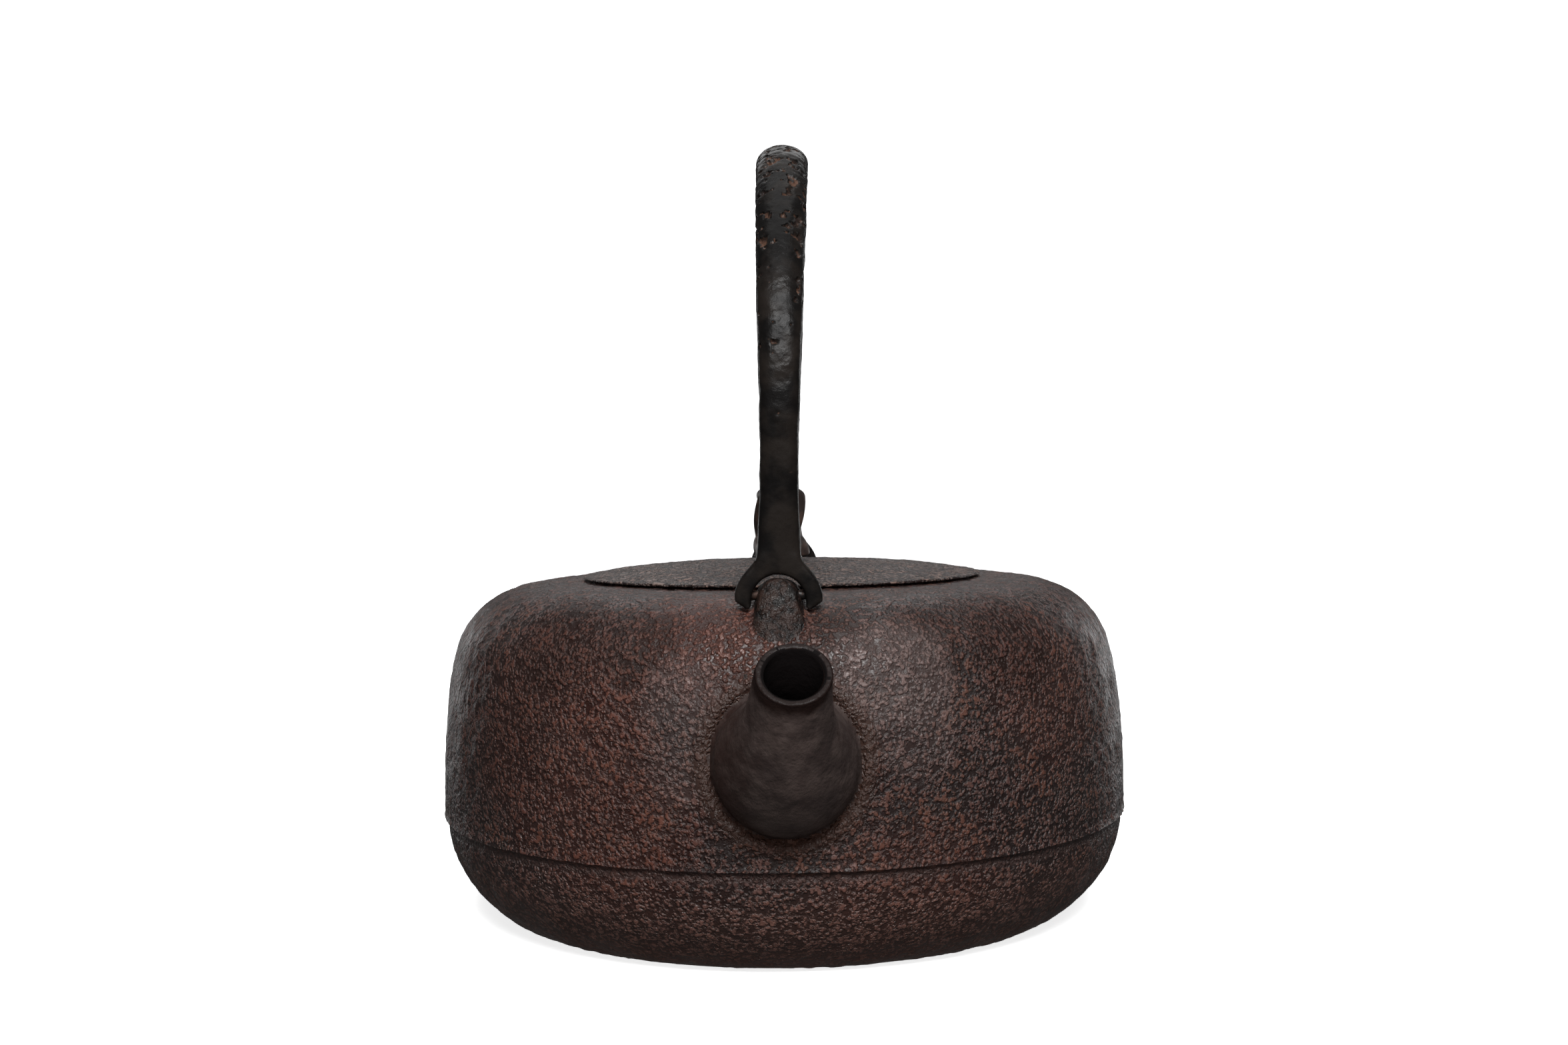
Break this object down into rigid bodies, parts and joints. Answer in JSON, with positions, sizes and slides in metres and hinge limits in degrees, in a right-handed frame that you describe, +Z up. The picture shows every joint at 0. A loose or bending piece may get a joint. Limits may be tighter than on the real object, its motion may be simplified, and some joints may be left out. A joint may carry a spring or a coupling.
{
  "type": "cast iron teapot",
  "caption": "Low round cast iron kettle with a short spout, a domed lift-off lid with a twisted knob, and a hollow arched bail handle with forked ends pinned across two lugs.",
  "frame": {"origin": "centre of the flat base, on the surface that the kettle stands on", "axes": "+Z up, -Y towards the spout (which is turned 2.4 degrees towards +X), the handle in the YZ plane"},
  "size_m": [0.18, 0.2026, 0.2005],
  "materials": {
    "cast_skin": "coarse sand-skin iron under worn red-brown lacquer, satin",
    "lid_skin": "coarse sand-skin iron under worn red-brown lacquer, satin",
    "forged_lacquer": "black baked lacquer on forged iron, satin, pitted brown near the top",
    "dark_bronze": "dark brown patinated bronze, satin",
    "bare_iron": "dark oxidised iron, satin"
  },
  "bodies": {
    "kettle": {"kettle_body": "cast_skin", "handle": "forged_lacquer", "front_lug_pin": "bare_iron", "rear_lug_pin": "bare_iron"},
    "lid": {"lid": "lid_skin", "knob_seat": "bare_iron", "rivet_washer": "bare_iron"},
    "knob": {"knob": "dark_bronze"}
  },
  "joints": [
    {"name": "lid_lift", "type": "slide", "parent": "kettle", "child": "lid", "axis": [0, 0, 1], "range_m": [0, 0.06]},
    {"name": "knob_spin", "type": "hinge", "parent": "lid", "child": "knob", "pos_m": [0, 0, 0.0915], "axis": [0, 0, 1], "continuous": true}
  ]
}
